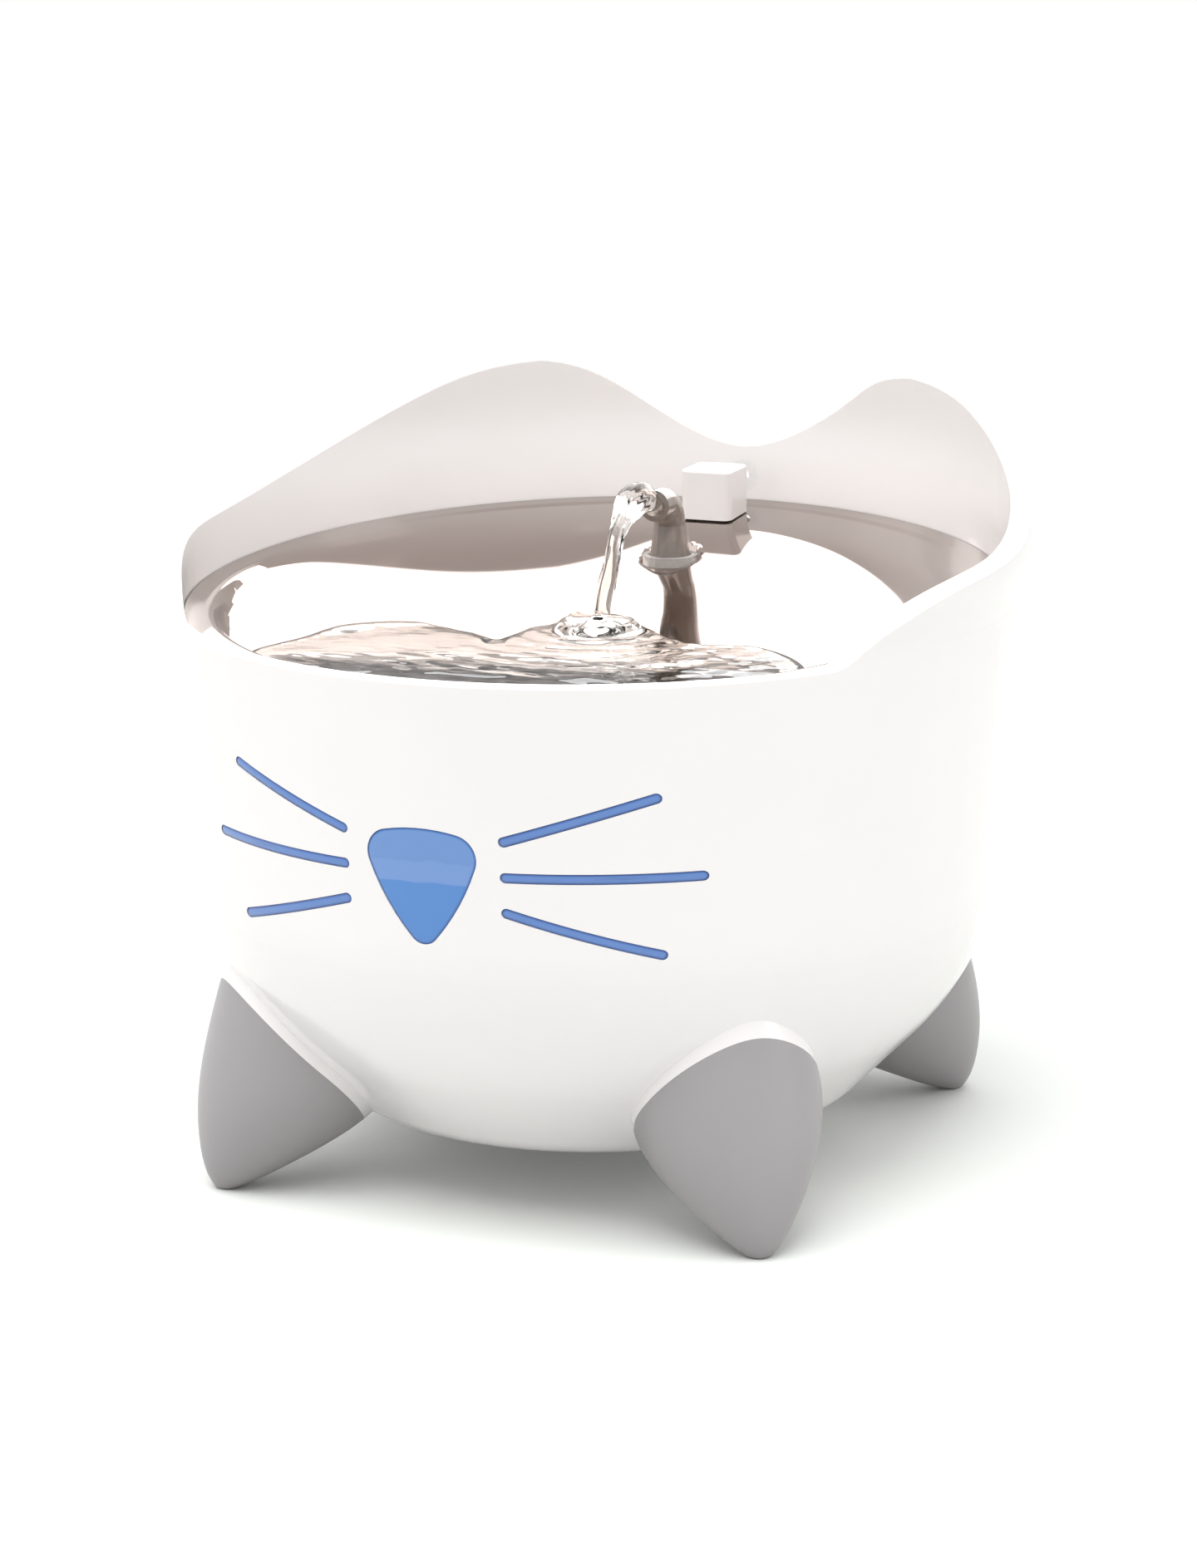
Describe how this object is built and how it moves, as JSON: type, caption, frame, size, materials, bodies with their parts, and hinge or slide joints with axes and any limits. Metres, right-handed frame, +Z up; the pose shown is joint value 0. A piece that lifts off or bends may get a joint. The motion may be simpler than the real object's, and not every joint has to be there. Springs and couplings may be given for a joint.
{
  "type": "pet water fountain",
  "caption": "Pet drinking fountain: round reservoir with an ear-shaped splash guard on pointed feet, a lift-out steel dish with a turning spout, and a pump and filter inside.",
  "frame": {"origin": "on the floor, under the middle of the reservoir", "axes": "+Z up, -Y towards the front with the nose window, +X towards the right-hand side seen from the front"},
  "size_m": [0.25, 0.2472, 0.2142],
  "materials": {
    "white_plastic": "glossy moulded plastic",
    "foot_grey": "satin moulded plastic",
    "pad_rubber": "matte rubber",
    "screw_steel": "zinc-plated",
    "shaft_steel": "ground steel",
    "window_blue": "tinted translucent plastic",
    "seal_grey": "soft silicone",
    "dish_steel": "mirror polished stainless steel",
    "clear_plastic": "clear moulded plastic",
    "tray_plastic": "moulded plastic",
    "frame_plastic": "moulded plastic",
    "foam_dark": "open-cell foam",
    "carbon_black": "carbon granules in fleece",
    "pump_plastic": "moulded plastic",
    "dial_plastic": "moulded plastic",
    "coil_copper": "enamelled winding",
    "bush_ceramic": "ceramic",
    "magnet_dark": "sintered magnet",
    "lens_clear": "clear plastic"
  },
  "bodies": {
    "reservoir": {"reservoir_floor": "white_plastic", "reservoir_flank": "white_plastic", "reservoir_wall": "white_plastic", "splash_guard": "white_plastic", "foot_front_right": "foot_grey", "foot_front_left": "foot_grey", "foot_rear_right": "foot_grey", "foot_rear_left": "foot_grey", "foot_pad_front_right": "pad_rubber", "foot_pad_front_left": "pad_rubber", "foot_pad_rear_right": "pad_rubber", "foot_pad_rear_left": "pad_rubber", "foot_screws": "screw_steel", "nose_window": "window_blue", "nose_gasket": "seal_grey", "whisker_left_high": "window_blue", "whisker_left_middle": "window_blue", "whisker_left_low": "window_blue", "whisker_right_high": "window_blue", "whisker_right_middle": "window_blue", "whisker_right_low": "window_blue", "cord_grommet": "seal_grey", "filter_housing": "tray_plastic", "suction_cups": "seal_grey", "pump_base": "pump_plastic", "pump_housing": "pump_plastic", "pump_cover": "pump_plastic", "stator_coil": "coil_copper", "rotor_shaft": "shaft_steel", "shaft_bush_lower": "bush_ceramic", "shaft_bush_upper": "bush_ceramic", "led_lens": "lens_clear", "pump_lead_gland": "seal_grey", "riser_tube": "clear_plastic"},
    "dish": {"steel_dish": "dish_steel", "dish_seal": "seal_grey", "spout_grommet": "seal_grey", "spout_collar": "clear_plastic", "cable_seal": "seal_grey"},
    "spout": {"spout_elbow": "clear_plastic"},
    "cover": {"cable_cover": "white_plastic"},
    "rotor": {"rotor_magnet": "magnet_dark", "impeller": "dial_plastic"},
    "filter": {"filter_frame": "frame_plastic", "filter_foam": "foam_dark", "filter_carbon": "carbon_black", "filter_tab": "frame_plastic"},
    "strainer": {"pump_strainer": "pump_plastic"},
    "dial": {"flow_dial": "dial_plastic"}
  },
  "joints": [
    {"name": "dish_lift", "type": "slide", "parent": "reservoir", "child": "dish", "axis": [0, 0, 1], "range_m": [0, 0.11]},
    {"name": "spout_swivel", "type": "hinge", "parent": "dish", "child": "spout", "pos_m": [0, 0.058, 0.1613], "axis": [0, 0, 1], "range_deg": [-45, 45]},
    {"name": "cover_lift", "type": "slide", "parent": "dish", "child": "cover", "axis": [0, 0, 1], "range_m": [0, 0.03]},
    {"name": "impeller_spin", "type": "hinge", "parent": "reservoir", "child": "rotor", "pos_m": [0, 0.036, 0.046], "axis": [0, 0, 1], "continuous": true},
    {"name": "filter_lift", "type": "slide", "parent": "reservoir", "child": "filter", "axis": [0, 0, 1], "range_m": [0, 0.06]},
    {"name": "strainer_lift", "type": "slide", "parent": "reservoir", "child": "strainer", "axis": [0, 0, 1], "range_m": [0, 0.03]},
    {"name": "dial_turn", "type": "hinge", "parent": "strainer", "child": "dial", "pos_m": [0, 0.036, 0.0703], "axis": [0, 0, 1], "range_deg": [0, 45]}
  ]
}
